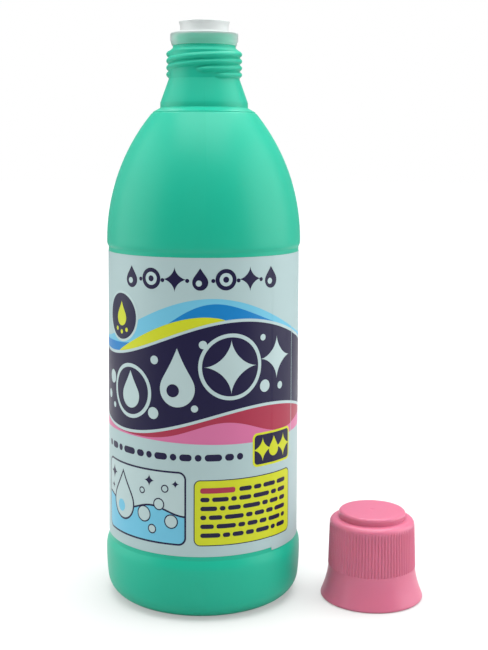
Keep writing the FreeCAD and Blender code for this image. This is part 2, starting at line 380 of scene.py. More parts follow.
def makeSky():
    world = bpy.data.worlds.new("whiteSky")
    bpy.context.scene.world = world
    world.use_nodes = True
    nodes = world.node_tree.nodes
    links = world.node_tree.links
    nodes["Background"].inputs["Color"].default_value = (1, 1, 1, 1)
    links.new(rangeOf(nodes, links, seenRays(nodes, links), studio["skyGrey"], 1, 0, 1),
              nodes["Background"].inputs["Strength"])


def makeLamps():
    for name, (place, size, watts, colour) in studio["lamps"].items():
        data = bpy.data.lights.new(name, "AREA")
        data.shape = "RECTANGLE"
        data.size, data.size_y = size
        data.energy = watts
        data.color = colour
        lamp = bpy.data.objects.new(name, data)
        lamp.location = place
        away = np.array(studio["aim"]) - np.array(place)
        tilt = rightAngle + math.atan2(away[2], math.hypot(away[0], away[1]))
        lamp.rotation_euler = (tilt, 0, math.atan2(-away[0], away[1]))
        bpy.context.scene.collection.objects.link(lamp)


# Bottle

bottleLow, bottleHigh = cornersOf("bottle")
bottleShape = {
    "baseFlare": 0.5, "recessDepth": 0.65, "wall": 0.8, "footInR": 26.5, "pushUp": 4.0, "baseCorner": 8.0,
    "bulgeZ": 17.3, "bulgeRound": 90.0, "bulgeLand": 1.1, "stepRound": 9.0, "panelHigh": 112.9,
    "overhangRound": 3.0, "shoulderLand": 0.7, "domeHigh": 49.0, "ledgeWidth": 2.9, "ledgeRise": 1.63,
    "coneSpread": 3.27, "coneWall": 1.0, "bandHigh": 1.9, "bandRound": 1.6, "coneHigh": 9.17,
    "threadZoneHigh": 10.68, "neckStepHigh": 1.75, "neckWall": 1.7, "lipR": 12.05, "lipBoreR": 10.9,
    "threadRootR": 13.7, "stepHollow": 0.35,
    "ledgeLineDown": 0.3, "ledgeLineDeep": 0.28, "ledgeLineWide": 0.2,
    "partingDeg": 3.4, "partingRise": 0.018, "partingWide": 0.35,
    "lipGrooves": (0.9, 1.9, 2.9), "grooveDeep": 0.3, "grooveWide": 0.24,
}
bottleGrid = {
    "softness": 0.16, "crispness": 0.07, "crispFrom": 6, "widestRow": 3.2, "sharpestRow": 0.2,
    "threadRow": 0.18, "threadDown": 1, "lineRow": 0.1, "lipRow": 0.13,
    "footRow": 0.1, "footUp": 0.3, "footReach": 0.5,
    "columnDeg": 1.5, "seamColumnsDeg": (-0.9, -0.55, -0.3, 0, 0.3, 0.55, 0.9),
}
# where the waves, the parting line and the ridges fade in and out: mm from an edge, and mm of the fade
bottleFades = {
    "wavesLow": (6, 20), "wavesHigh": (4, 10), "seamLow": (3, 3), "seamHigh": (0, 2),
    "ridgesDown": 1.2, "ridgesUp": 0.2,
}
# slow waves of the blown wall: waves round the bottle and mm of height for a radian, large and small
bottleWaves = {"deep": 0.015, "large": (3, 9, 14), "small": (5, 21), "smallShare": 0.6}
neckThread = {
    "lead": 5.2, "foot": 2.5, "rise": 0.95, "tipRound": 2.0, "fadeDeg": 15.0,
    "startUp": 0.65, "startDeg": 17.5, "turns": 1.75, "breakFrom": 0.26, "breakTo": 0.42,
}
bottleLook = {
    "colour": (0.003, 0.43, 0.275), "tone": (0.006, 0.455, 0.30), "patchScale": 28.0,
    "roughness": (0.36, 0.42), "grainScale": 900.0, "grainDepth": 0.02, "grainStrength": 0.25,
    "specular": 0.34, "soft": 0.05, "softDepth": 1.0,
}


def bottleHeights():
    # radii and heights that follow from the sizes, from the base up
    s = bottleShape
    h = {}
    h["baseR"] = bottleHigh[0]
    h["shoulderR"] = h["baseR"] - s["baseFlare"]
    h["panelR"] = h["shoulderR"] - s["recessDepth"]
    h["stepZ"] = s["bulgeZ"] + s["bulgeLand"]
    h["stepTurn"] = math.acos(1 - (h["baseR"] - h["panelR"]) / s["stepRound"])
    h["panelLowZ"] = h["stepZ"] + s["stepRound"] * math.sin(h["stepTurn"])
    h["panelTopZ"] = h["panelLowZ"] + s["panelHigh"]
    h["overhangTurn"] = math.acos(1 - s["recessDepth"] / s["overhangRound"])
    h["shoulderZ"] = h["panelTopZ"] + s["overhangRound"] * math.sin(h["overhangTurn"])
    h["domeZ"] = h["shoulderZ"] + s["shoulderLand"]
    h["coneFootR"] = s["threadRootR"] + s["coneSpread"]
    fall = h["shoulderR"] - h["coneFootR"] - s["ledgeWidth"]
    h["domeRound"] = (s["domeHigh"] ** 2 + fall ** 2) / (2 * fall)
    h["domeCentreR"] = h["shoulderR"] - h["domeRound"]
    h["coneFootZ"] = h["domeZ"] + s["domeHigh"] + s["ledgeRise"]
    h["coneLowZ"] = h["coneFootZ"] + s["bandHigh"]
    h["threadLowZ"] = h["coneLowZ"] + s["coneHigh"]
    h["threadTopZ"] = h["threadLowZ"] + s["threadZoneHigh"]
    h["lipLowZ"] = h["threadTopZ"] + s["neckStepHigh"]
    h["lipTopZ"] = bottleHigh[2]
    return h


def bottleProfile(h):
    # from the middle of the push-up, down and out, up the outside, over the lip and down the inside
    s = bottleShape
    bulgeCentreR = h["baseR"] - s["bulgeRound"]
    corner = -math.asin((s["bulgeZ"] - s["baseCorner"]) / (s["bulgeRound"] - s["baseCorner"]))
    footOutR = bulgeCentreR + (s["bulgeRound"] - s["baseCorner"]) * math.cos(corner)
    pushRound = (s["footInR"] ** 2 + s["pushUp"] ** 2) / (2 * s["pushUp"])
    pushTurn = math.asin(s["footInR"] / pushRound)
    pushZ = s["pushUp"] - pushRound
    domeTurn = math.asin(s["domeHigh"] / h["domeRound"])
    coneBoreR = h["coneFootR"] - s["coneWall"]
    innerDome = h["domeRound"] - s["wall"]
    innerTurn = math.asin((s["domeHigh"] - s["wall"]) / innerDome)
    threadBoreR = s["threadRootR"] - s["neckWall"]
    coneTurn = math.atan(s["coneSpread"] / s["coneHigh"])
    bandTopZ = h["coneLowZ"] - s["bandRound"] * math.tan(coneTurn / 2)
    outside = profile(
        arc(0, pushZ, pushRound, rightAngle, rightAngle - pushTurn),
        arc(footOutR, s["baseCorner"], s["baseCorner"], -rightAngle, corner),
        arc(bulgeCentreR, s["bulgeZ"], s["bulgeRound"], corner, 0),
        arc(h["baseR"] - s["stepRound"], h["stepZ"], s["stepRound"], 0, h["stepTurn"]),
        arc(h["shoulderR"] - s["overhangRound"], h["shoulderZ"], s["overhangRound"],
            -h["overhangTurn"], 0),
        arc(h["domeCentreR"], h["domeZ"], h["domeRound"], 0, domeTurn),
        (h["coneFootR"], h["coneFootZ"]),
        arc(h["coneFootR"] - s["bandRound"], bandTopZ, s["bandRound"], 0, coneTurn, 30),
        (s["threadRootR"], h["threadLowZ"]),
        (s["threadRootR"], h["threadTopZ"] - s["stepHollow"] / 2),
        (s["threadRootR"] - s["stepHollow"], h["threadTopZ"] + s["stepHollow"] / 2),
        (s["lipR"] + s["stepHollow"] / 2, h["lipLowZ"] - 2 * s["stepHollow"]),
        (s["lipR"], h["lipLowZ"]),
        (s["lipR"], h["lipTopZ"]),
    )
    inside = profile(
        (s["lipBoreR"], h["lipTopZ"]),
        (s["lipBoreR"], h["threadTopZ"]),
        (threadBoreR, h["threadTopZ"] - s["neckStepHigh"]),
        (threadBoreR, h["threadLowZ"]),
        (coneBoreR, h["coneLowZ"]),
        (coneBoreR, h["coneFootZ"] - s["wall"]),
        arc(h["domeCentreR"], h["domeZ"], innerDome, innerTurn, 0),
        (h["shoulderR"] - s["wall"], h["shoulderZ"]),
        (h["panelR"] - s["wall"], h["panelTopZ"]),
        (h["panelR"] - s["wall"], h["panelLowZ"]),
        (h["baseR"] - s["wall"], h["stepZ"]),
        arc(bulgeCentreR, s["bulgeZ"], s["bulgeRound"] - s["wall"], 0, corner),
        arc(footOutR, s["baseCorner"], s["baseCorner"] - s["wall"], corner, -rightAngle),
        arc(0, pushZ + s["wall"], pushRound, rightAngle - pushTurn, rightAngle),
    )
    return profile(outside, inside)


def makeBottle():
    # over height and angle: the profile's radius, raised by the thread, the wall's waves and the parting
    # line, and lowered by bell-shaped grooves for the ledge's line and on the lip
    s = bottleShape
    g = bottleGrid
    t = neckThread
    h = bottleHeights()
    points = bottleProfile(h)
    soft = softened(points, g["softness"], False)
    crisp = softened(points, g["crispness"], False)
    drawn = np.where(soft[:, 1:] > h["coneFootZ"] - g["crispFrom"], crisp, soft)
    outer = np.arange(len(drawn)) <= np.argmax(drawn[:, 1])
    ledgeZ = h["domeZ"] + s["domeHigh"] - s["ledgeLineDown"]

    def finer(points):
        height = points[:, 1]
        threaded = (height > h["threadLowZ"] - g["threadDown"]) & (height < h["threadTopZ"]) & outer
        lined = (np.abs(height - ledgeZ) < 3 * s["ledgeLineWide"]) & outer
        lip = (height > h["lipLowZ"]) & outer
        foot = (np.abs(height - h["coneFootZ"] - g["footUp"]) < g["footReach"]) & outer
        steps = threaded / g["threadRow"] + lined / g["lineRow"]
        return steps + lip / g["lipRow"] + foot / g["footRow"]

    rows = rowsAlong(drawn, False, g["widestRow"], g["sharpestRow"], finer)[1:-1]
    outside = (np.arange(len(rows)) <= np.argmax(rows[:, 1]))[:, None]
    parting = np.radians(s["partingDeg"] + np.array([0, 180]))
    atSeam = np.radians(np.array(g["seamColumnsDeg"]))
    between = np.radians(np.arange(2, 179, g["columnDeg"]))
    theta = np.sort(np.concatenate([side + part for side in parting for part in (atSeam, between)]))
    radius = rows[:, :1]
    height = rows[:, 1:]
    startZ = h["threadLowZ"] + t["startUp"]
    share = np.maximum.reduce([
        threadRidge(theta[None, :], height, t, startZ, t["startDeg"], t["turns"]),
        threadRidge(theta[None, :], height, t, startZ, t["startDeg"] - 180, t["breakFrom"]),
        threadRidge(theta[None, :], height, t, startZ + t["lead"] * t["breakTo"],
                    t["startDeg"] - 180 + 360 * t["breakTo"], t["turns"] - t["breakTo"]),
    ])
    ridged = s["threadRootR"] + t["rise"] * share
    inZone = outside & (height > h["threadLowZ"] - bottleFades["ridgesDown"])
    inZone = inZone & (height < h["threadTopZ"] + bottleFades["ridgesUp"])
    radius = np.where(inZone & (share > 0), np.maximum(radius, ridged), radius + 0 * ridged)
    # slow waves of the blown wall, none where something fits on it or it stands
    free = faded(height, 0, h["coneFootZ"], bottleFades["wavesLow"], bottleFades["wavesHigh"])
    lobes, winding, upright = bottleWaves["large"]
    waves = np.sin(lobes * theta + height / winding) * np.sin(height / upright)
    lobes, winding = bottleWaves["small"]
    waves = waves + bottleWaves["smallShare"] * np.sin(lobes * theta - height / winding)
    radius = radius + outside * free * bottleWaves["deep"] * waves
    gap = np.abs(np.angle(np.exp(1j * (theta[:, None] - parting[None, :])))).min(1)
    seam = np.exp(-(gap * h["shoulderR"] / s["partingWide"]) ** 2)
    onWall = faded(height, 0, h["threadLowZ"], bottleFades["seamLow"], bottleFades["seamHigh"])
    radius = radius + outside * onWall * s["partingRise"] * seam
    ledgeLine = np.exp(-((height - ledgeZ) / s["ledgeLineWide"]) ** 2)
    radius = radius - outside * s["ledgeLineDeep"] * ledgeLine
    for down in s["lipGrooves"]:
        groove = np.exp(-((height - h["lipTopZ"] + down) / s["grooveWide"]) ** 2)
        radius = radius - outside * (radius < s["lipR"] + 0.2) * s["grooveDeep"] * groove
    radius = np.minimum(radius, h["baseR"] - 0.001)  # just inside the CAD box
    bottle = turnedPiece("bottle_wall", radius, height, theta, False)
    finished(bottle, plastic("greenPolyethylene", bottleLook), "bottle", "bottle")


# Pouring plug

plugShape = {
    "gap": 0.03, "skirtWall": 1.0, "skirtDrop": 3.9, "skirtTaper": 1.9, "skirtEdge": 0.3, "flange": 1.0,
    "edge": 0.7, "spoutHigh": 4.4, "waistR": 9.27, "swell": 0.5, "spoutWall": 0.82, "mouth": 0.5,
    "mouthHigh": 1.33, "lip": 0.4, "lipRound": 0.2, "floorDrop": 0.9, "floorThick": 0.9, "holeR": 4.0,
    "sealHigh": 6.0, "sealWall": 0.9, "sealLead": 0.5, "milkyDown": 0.25,
    "softness": 0.07, "step": 0.02, "widestRow": 0.7, "sharpestRow": 0.2, "columns": 256,
}
skirtLook = {
    "colour": (0.84, 0.93, 0.91), "tone": (0.87, 0.94, 0.93), "patchScale": 60.0,
    "roughness": (0.28, 0.34), "grainScale": 1500.0, "grainDepth": 0.01, "grainStrength": 0.2,
    "specular": 0.4, "clear": 0.93, "ior": 1.25,
}
spoutLook = dict(skirtLook, colour=(0.76, 0.80, 0.795), tone=(0.79, 0.825, 0.82), clear=0.30, ior=1.5)


def makePlug():
    # closed profile of the skirt, the spout, the pour hole's floor and the seal, turned round Z
    s = plugShape
    lipTopZ = bottleHigh[2]
    skirtInR = bottleShape["lipR"] + s["gap"]
    flangeR = skirtInR + s["skirtWall"]
    skirtZ = lipTopZ - s["skirtDrop"]
    flangeZ = lipTopZ + s["flange"]
    topZ = flangeZ + s["spoutHigh"]
    spoutR = s["waistR"] + s["swell"]
    boreR = s["waistR"] - s["spoutWall"]
    lipZ = topZ - s["lip"]
    floorZ = flangeZ - s["floorDrop"]
    sealR = bottleShape["lipBoreR"] - s["gap"]
    sealZ = lipTopZ - s["sealHigh"]
    points = profile(
        (skirtInR, skirtZ),
        (skirtInR + s["skirtEdge"], skirtZ),
        (flangeR, skirtZ + s["skirtTaper"]),
        arc(flangeR - s["edge"], flangeZ - s["edge"], s["edge"], 0, rightAngle, 20),
        saggingArc((spoutR, flangeZ), (spoutR, lipZ), -s["swell"]),
        (spoutR, topZ - s["lipRound"]),
        (spoutR - s["lipRound"], topZ),
        (boreR + s["mouth"], topZ),
        (boreR, topZ - s["mouthHigh"]),
        (boreR, floorZ),
        (s["holeR"], floorZ),
        (s["holeR"], floorZ - s["floorThick"]),
        (sealR - s["sealWall"], floorZ - s["floorThick"]),
        (sealR - s["sealWall"], sealZ),
        (sealR - s["sealLead"], sealZ),
        (sealR, sealZ + s["sealLead"]),
        (sealR, lipTopZ),
        (skirtInR, lipTopZ),
    )
    drawn = softened(points, s["softness"], True, s["step"])
    rows = rowsAlong(drawn, True, s["widestRow"], s["sharpestRow"])
    theta = np.arange(s["columns"]) * turn / s["columns"]
    plug = turnedPiece("pour_spout", rows[:, :1], rows[:, 1:], theta, True)
    finished(plug, plastic("clearPolyethylene", skirtLook), "pouring_plug", "pouring_plug")
    # the upright spout looks milky; the skirt shows the green lip under it
    plug.data.materials.append(plastic("milkyPolyethylene", spoutLook))
    centres = np.empty(3 * len(plug.data.polygons), np.float32)
    plug.data.polygons.foreach_get("center", centres)
    milky = centres[2::3] > (flangeZ - s["milkyDown"]) * mm
    plug.data.polygons.foreach_set("material_index", milky.astype(np.int32))


# Cap, standing on its rim

capLow, capHigh = cornersOf("cap")
capShape = {
    "topWall": 1.2, "discR": 12.9, "discWall": 1.2, "discEdge": 1.2, "discFoot": 0.3, "discRise": 3.0,
    "corner": 2.2, "wall": 1.1, "shoulderWall": 1.3,
    "ribs": 84, "ribRise": 0.35, "ribDeep": 0.6, "ribPower": 0.9, "ribTip": 0.3,
    "ribFadeUp": 0.5, "ribFade": 0.9, "ribSpread": 0.5,
    "ribLowZ": 12.4, "rimWall": 1.3, "rimRound": 0.9, "flareOut": 0.15, "flareSag": 0.5, "boreR": 14.95,
    "ringR": 8.35, "ringWall": 0.9, "ringHigh": 3.0, "ridgeZ": 11.74, "ridgeDeg": 143.5,
    "ridgeTurns": 1.1, "gateR": 0.55, "gateRise": 0.25, "gateCore": 0.45, "gateCoreShare": 0.5,
}
capGrid = {
    "softness": 0.14, "widestRow": 2.0, "sharpestRow": 0.22, "perRib": 6,
    "footRow": 0.16, "footReach": 0.9, "threadRow": 0.42, "threadDown": 1.2, "threadUp": 7,
    "threadIn": 0.5, "gateRow": 0.22, "topDown": 0.3,
}
capThread = {"lead": 5.2, "foot": 2.2, "rise": 1.0, "tipRound": 0.5, "fadeDeg": 28.0}
capLook = {
    "colour": (0.64, 0.158, 0.264), "tone": (0.67, 0.171, 0.28), "patchScale": 45.0,
    "roughness": (0.30, 0.38), "grainScale": 1200.0, "grainDepth": 0.015, "grainStrength": 0.25,
    "specular": 0.45, "soft": 0.15, "softDepth": 1.2,
}


def makeCap():
    # over height and angle: the profile's radius, less the grooves between ribs, a power of a cosine,
    # and less the ridges in the bore; the top's height falls by a bell with a small rise in it
    s = capShape
    g = capGrid
    high = capHigh[2]
    rimR = (capHigh[0] - capLow[0]) / 2
    centre = (capLow[:2] + capHigh[:2]) / 2
    valleyR = s["boreR"] + s["wall"]
    shoulderZ = high - s["discRise"]
    ribTopZ = shoulderZ - s["corner"]
    edgeR = valleyR + s["ribRise"]
    flareR = valleyR + s["ribSpread"] + s["flareOut"]
    underZ = high - s["topWall"]
    points = profile(
        (0, high),
        arc(s["discR"] - s["discEdge"], high - s["discEdge"], s["discEdge"], rightAngle, 0, 20),
        (s["discR"] - s["discFoot"], shoulderZ),
        arc(edgeR - s["corner"], ribTopZ, s["corner"], rightAngle, 0, 30),
        (valleyR + s["ribRise"] + s["ribSpread"], s["ribLowZ"]),
        saggingArc((flareR, s["ribLowZ"]), (rimR, s["rimRound"]), s["flareSag"]),
        arc(rimR - s["rimRound"], s["rimRound"], s["rimRound"], 0, -rightAngle, 20),
        saggingArc((rimR - s["rimWall"], 0), (s["boreR"], s["ribLowZ"]), -s["flareSag"]),
        (s["boreR"], shoulderZ - s["shoulderWall"]),
        (s["discR"] - s["discWall"], shoulderZ - s["shoulderWall"]),
        (s["discR"] - s["discWall"], underZ),
        (s["ringR"], underZ),
        (s["ringR"], underZ - s["ringHigh"]),
        (s["ringR"] - s["ringWall"], underZ - s["ringHigh"]),
        (s["ringR"] - s["ringWall"], underZ),
        (0, underZ),
    )
    drawn = softened(points, g["softness"], False)
    outer = np.arange(len(drawn)) <= np.argmin(drawn[:, 1])

    def finer(points):
        radius, height = points.T
        foot = (np.abs(height - s["ribLowZ"]) < g["footReach"]) & outer
        threaded = (height > s["ridgeZ"] - g["threadDown"]) & (height < s["ridgeZ"] + g["threadUp"])
        threaded = threaded & (radius > s["boreR"] - g["threadIn"]) & ~outer
        gate = (radius < 3 * s["gateR"]) & (height > high - g["topDown"])
        return foot / g["footRow"] + threaded / g["threadRow"] + gate / g["gateRow"]

    rows = rowsAlong(drawn, False, g["widestRow"], g["sharpestRow"], finer)[1:-1]
    outside = (np.arange(len(rows)) <= np.argmin(rows[:, 1]))[:, None]
    columns = s["ribs"] * g["perRib"]
    theta = np.arange(columns) * turn / columns
    radius = rows[:, :1]
    height = rows[:, 1:]
    # ribs: round crests with narrow grooves, which fade into the shoulder and end in round tips below
    rib = np.abs(np.cos(theta[None, :] * s["ribs"] / 2)) ** s["ribPower"]
    footZ = s["ribLowZ"] + s["ribTip"] * (rib - 0.5)
    ribbed = smoothStep((height - footZ) / s["ribTip"] + 0.5)
    ribbed = ribbed * smoothStep((ribTopZ + s["ribFadeUp"] - height) / s["ribFade"])
    straight = smoothStep((height - s["ribLowZ"] + 2 * s["ribTip"]) / s["ribTip"])
    grooved = outside * (radius > s["boreR"] + s["wall"] / 2) * straight * ribbed
    radius = radius - grooved * s["ribDeep"] * (1 - rib)
    # two inner ridges that take the neck's thread
    ridges = [threadRidge(theta[None, :], height, capThread, s["ridgeZ"], s["ridgeDeg"] + side,
                          s["ridgeTurns"]) for side in (0, 180)]
    bore = ~outside & (np.abs(radius - s["boreR"]) < 0.3)  # the straight part alone
    radius = radius - bore * capThread["rise"] * np.maximum(*ridges)
    # moulding gate in the middle of the top
    top = outside & (height > high - g["topDown"])
    dimple = np.exp(-(radius / s["gateR"]) ** 2)
    core = np.exp(-(radius / s["gateR"] / s["gateCore"]) ** 2)
    height = height - top * s["gateRise"] * (dimple - s["gateCoreShare"] * core)
    cap = turnedPiece("screw_cap", radius, height + 0 * theta[None, :], theta, False, centre)
    finished(cap, plastic("pinkPolypropylene", capLook), "cap", "cap")


# Label: the film, then its print as thin layers of ink on it

labelLow, labelHigh = cornersOf("label")
labelShape = {
    "thick": 0.12, "seamDeg": 65.6, "lapDeg": 19.9, "rampDeg": 1.5, "tailDrop": 1.2, "stepDeg": 0.5,
    "edgeRound": 0.04, "rowsHigh": 9,
}
labelR = 37.0  # outer face of the film
filmLook = {
    "colour": (0.40, 0.54, 0.55), "tone": (0.415, 0.555, 0.562), "patchScale": 16.0,
    "roughness": (0.40, 0.46), "grainScale": 500.0, "grainDepth": 0.01, "grainStrength": 0.2,
    "specular": 0.3,
}


def labelSurface(theta):
    # radius of the film's visible face: the lap before the seam lies one film further out
    lapFrom = math.radians(labelShape["seamDeg"] - labelShape["lapDeg"])
    ramp = math.radians(labelShape["rampDeg"])
    return labelR + labelShape["thick"] * np.clip((theta - lapFrom + ramp) / ramp, 0, 1)


def makeFilm():
    # closed strip: columns along the wrap from the inner end to the outer, rows round its thin section
    s = labelShape
    seam = math.radians(s["seamDeg"])
    lapFrom = seam - math.radians(s["lapDeg"])
    rampFrom = lapFrom - math.radians(s["rampDeg"])
    stops = [lapFrom - turn, rampFrom, lapFrom, seam]
    counts = [int(math.degrees(b - a) / s["stepDeg"]) + 2 for a, b in zip(stops, stops[1:])]
    theta = np.unique(np.concatenate([np.linspace(*ends) for ends in zip(stops, stops[1:], counts)]))
    outer = labelSurface(theta)
    inner = outer - s["thick"]
    frontLowZ = labelLow[2] + s["tailDrop"]
    behind = theta < seam - math.pi
    dip = s["tailDrop"] / 2 * (1 + np.cos(theta - seam))
    low = frontLowZ - np.where(behind, dip, 0)
    high = np.full_like(low, labelHigh[2])
    edge = s["edgeRound"]
    share = np.linspace(0, 1, s["rowsHigh"])[:, None]
    outerRows = low + edge + (high - low - 2 * edge) * share
    radii = np.concatenate([np.broadcast_to(outer, outerRows.shape), [outer - edge, inner + edge],
                            np.broadcast_to(inner, outerRows.shape), [inner + edge, outer - edge]])
    zs = np.concatenate([outerRows, [high, high], outerRows[::-1], [low, low]])
    points = placed(radii, theta[None, :], zs)
    rows, columns = radii.shape
    i = np.arange(rows)[:, None]
    j = np.arange(columns - 1)[None, :]
    above = (i + 1) % rows
    quads = np.stack(np.broadcast_arrays(i * columns + j, i * columns + j + 1, above * columns + j + 1,
                                         above * columns + j), -1).reshape(-1, 4)
    ends = [np.arange(rows)[None, ::-1] * columns, np.arange(rows)[None, :] * columns + columns - 1]
    caps = [np.stack([end[0, [0] * (rows - 2)], end[0, 1:-1], end[0, 2:]], 1) for end in ends]
    film = addMesh("label_film", points.reshape(-1, 3), [quads] + caps)
    film.data.set_sharp_from_angle(angle=sharpEdge)
    finished(film, plastic("printedFilm", filmLook), "label", "label")


# Print. A place on the label is s, the arc in mm to the right of the front's middle, and a height z.

printShape = {
    "layer": 0.012, "clearance": 0.003, "widest": 0.6, "border": 1.1, "edge": 0.35,
    "fieldZ": 89.0, "fieldHalf": 14.5, "fieldWave": 6.0, "rowZ": 126.2, "rowStep": 9.4,
}
waveShape = {
    # mean, swing and shift in radians of each swell; cut is the share that the second colour takes
    "over": (7, 5, 2.3), "under": (8, 6, 0.2), "cut": (0.55, 0.25, 1.0), "fieldSwing": 2.0, "fieldShift": 0.5,
    "crescentFrom": -36, "crescentTo": 9, "crescentHigh": 4.6,
}
inkColours = {
    "pale": (0.45, 0.585, 0.59), "navy": (0.006, 0.004, 0.040), "lime": (0.57, 0.62, 0.018),
    "blue": (0.004, 0.20, 0.52), "cyan": (0.15, 0.50, 0.68), "red": (0.36, 0.03, 0.065),
    "pink": (0.60, 0.155, 0.32), "white": (0.60, 0.66, 0.67),
}
inkLook = {
    "patchScale": 60.0, "roughness": (0.30, 0.38), "grainScale": 700.0, "grainDepth": 0.006,
    "grainStrength": 0.2, "specular": 0.25,
}
printed = {name: [] for name in inkColours}


def layInk(ink, layer, s, low, high):
    # closed thin strip on the film: at each place along s it covers the heights from low to high
    theta = s / labelR
    film = labelSurface(theta)
    outer = film + printShape["layer"] * layer
    inner = film + printShape["clearance"]
    corners = np.stack([placed(outer, theta, low), placed(outer, theta, high),
                        placed(inner, theta, high), placed(inner, theta, low)], 1)
    i = np.arange(len(s) - 1)[:, None] * 4
    k = np.arange(4)[None, :]
    beside = (k + 1) % 4
    quads = np.stack(np.broadcast_arrays(i + k, i + beside, i + 4 + beside, i + 4 + k), -1).reshape(-1, 4)
    ends = np.array([[3, 2, 1, 0], [0, 1, 2, 3]]) + np.array([[0], [4 * (len(s) - 1)]])
    printed[ink].append((corners.reshape(-1, 3), np.concatenate([quads, ends])))


def along(fromS, toS, crowded=0.0):
    # places along the label, closer at both ends; crowded above 0 puts them closer in the middle instead
    half = (toS - fromS) / 2
    count = max(15, int(half * math.pi / printShape["widest"]) | 1)
    steps = np.linspace(-1, 1, count)
    x = np.sign(steps) * np.abs(steps) ** (1 + crowded) if crowded else np.sin(steps * rightAngle)
    s = fromS + half * (1 + x)
    lapFrom = math.radians(labelShape["seamDeg"] - labelShape["lapDeg"])
    ramp = np.array([lapFrom - math.radians(labelShape["rampDeg"]), lapFrom]) * labelR
    return np.union1d(s, ramp[(ramp > fromS) & (ramp < toS)])


def roundedHalf(away, wide, high, corner):
    # half the height of a rectangle with round corners, at a distance from its middle
    past = np.clip(np.abs(away) - wide / 2 + corner, 0, corner)
    return high / 2 - corner + np.sqrt(np.maximum(corner ** 2 - past ** 2, 1e-4))


def bar(ink, layer, s, z, wide, high, corner):
    # rectangle with round corners
    places = along(s - wide / 2, s + wide / 2)
    half = roundedHalf(places - s, wide, high, corner)
    layInk(ink, layer, places, z - half, z + half)


def disc(ink, layer, s, z, radius):
    bar(ink, layer, s, z, 2 * radius, 2 * radius, radius)


def sparkle(ink, layer, s, z, radius, power=0.62):
    # star with four points: half height R (1 - (x / R) ^ p) ^ (1 / p)
    places = along(s - radius, s + radius, 0.8)
    x = np.minimum(np.abs(places - s) / radius, 1)
    half = np.maximum(radius * (1 - x ** power) ** (1 / power), 0.01)
    layInk(ink, layer, places, z - half, z + half)


def drop(ink, layer, s, z, radius, high):
    # circle below; above it, its upper half plus (H - R)(1 - x / R)^2, which makes the tip
    places = along(s - radius, s + radius)
    x = np.minimum(np.abs(places - s) / radius, 1)
    half = np.sqrt(np.maximum(radius ** 2 * (1 - x ** 2), 1e-4))
    layInk(ink, layer, places, z - half, z + half + (high - radius) * (1 - x) ** 2)


def dashRows(ink, layer, fromS, toS, topZ, rows, rowStep, high, lengths, gap):
    # plain round-ended bars, a few lengths in turn, row under row
    count = 0
    for row in range(rows):
        place = fromS
        while place + lengths[count % len(lengths)] <= toS:
            wide = lengths[count % len(lengths)]
            bar(ink, layer, place + wide / 2, topZ - row * rowStep, wide, high, high / 2)
            place += wide + gap
            count += 1
        count += 1


def fieldMiddle(s):
    # sine with two waves round the bottle
    return printShape["fieldZ"] + printShape["fieldWave"] * np.sin(2 * s / labelR + waveShape["fieldShift"])


def fieldHalf(s):
    # half of the field's height, a cosine with two waves
    return printShape["fieldHalf"] + waveShape["fieldSwing"] * np.cos(2 * s / labelR)


def makeWaves():
    # navy field that waves round the bottle, with blues over it and reds under it that swell and thin out
    seamS = math.radians(labelShape["seamDeg"]) * labelR
    s = along(seamS - turn * labelR + printShape["edge"], seamS - printShape["edge"])
    top = fieldMiddle(s) + fieldHalf(s)
    low = fieldMiddle(s) - fieldHalf(s)
    over, under, cut = [
        waveShape[name][0] + waveShape[name][1] * np.sin(waves * s / labelR + waveShape[name][2])
        for name, waves in (("over", 2), ("under", 2), ("cut", 4))
    ]
    layInk("cyan", 1, s, top - 1, top + over)
    layInk("blue", 2, s, top - 1, top + over * cut)
    layInk("pink", 1, s, low - under, low + 1)
    layInk("red", 2, s, low - under * (1.1 - cut), low + 1)
    layInk("pale", 3, s, low - printShape["border"], top + printShape["border"])
    layInk("navy", 4, s, low, top)
    for lap in (0, -1):
        middle = lap * math.pi * labelR
        crescent = along(middle + waveShape["crescentFrom"], middle + waveShape["crescentTo"])
        share = (crescent - crescent[0]) / (crescent[-1] - crescent[0])
        edge = fieldMiddle(crescent) + fieldHalf(crescent) + printShape["border"] - 0.05
        high = waveShape["crescentHigh"] * np.sin(math.pi * share) ** 0.8
        layInk("lime", 4, crescent, edge, edge + 0.1 + high)


def makeFieldMotifs(middle):
    # pale rings, drops and sparkles that ride on the wave
    def level(s, up=0.0):
        return float(fieldMiddle(s)) + up

    for away, radius in ((-29.0, 10.2), (11.5, 12.2)):
        s = middle + away
        disc("pale", 5, s, level(s), radius)
        disc("navy", 6, s, level(s), radius - 1.4)
    s = middle - 29
    drop("pale", 7, s, level(s, -1.8), 4.6, 9.4)
    s = middle + 11.5
    sparkle("pale", 7, s, level(s), 10.0)
    s = middle - 8.5
    drop("pale", 5, s, level(s, -3.0), 6.6, 15.0)
    disc("navy", 6, s - 1.6, level(s, -3.6), 2.4)
    s = middle + 31.5
    sparkle("pale", 5, s, level(s, 2.5), 8.0)
    for away, up, radius in ((-42, 4, 2.6), (-45.5, -3.5, 1.7), (-40.5, -6.5, 1.1), (-17.5, 10, 1.6),
                             (-18.0, -9.5, 2.2), (1.0, 10.5, 1.5), (-2.0, -12.0, 1.3), (25.5, -8.5, 2.3),
                             (33.5, -8.0, 1.4), (24.5, 9.5, 1.2)):
        s = middle + away
        disc("pale", 5, s, level(s, up), radius)


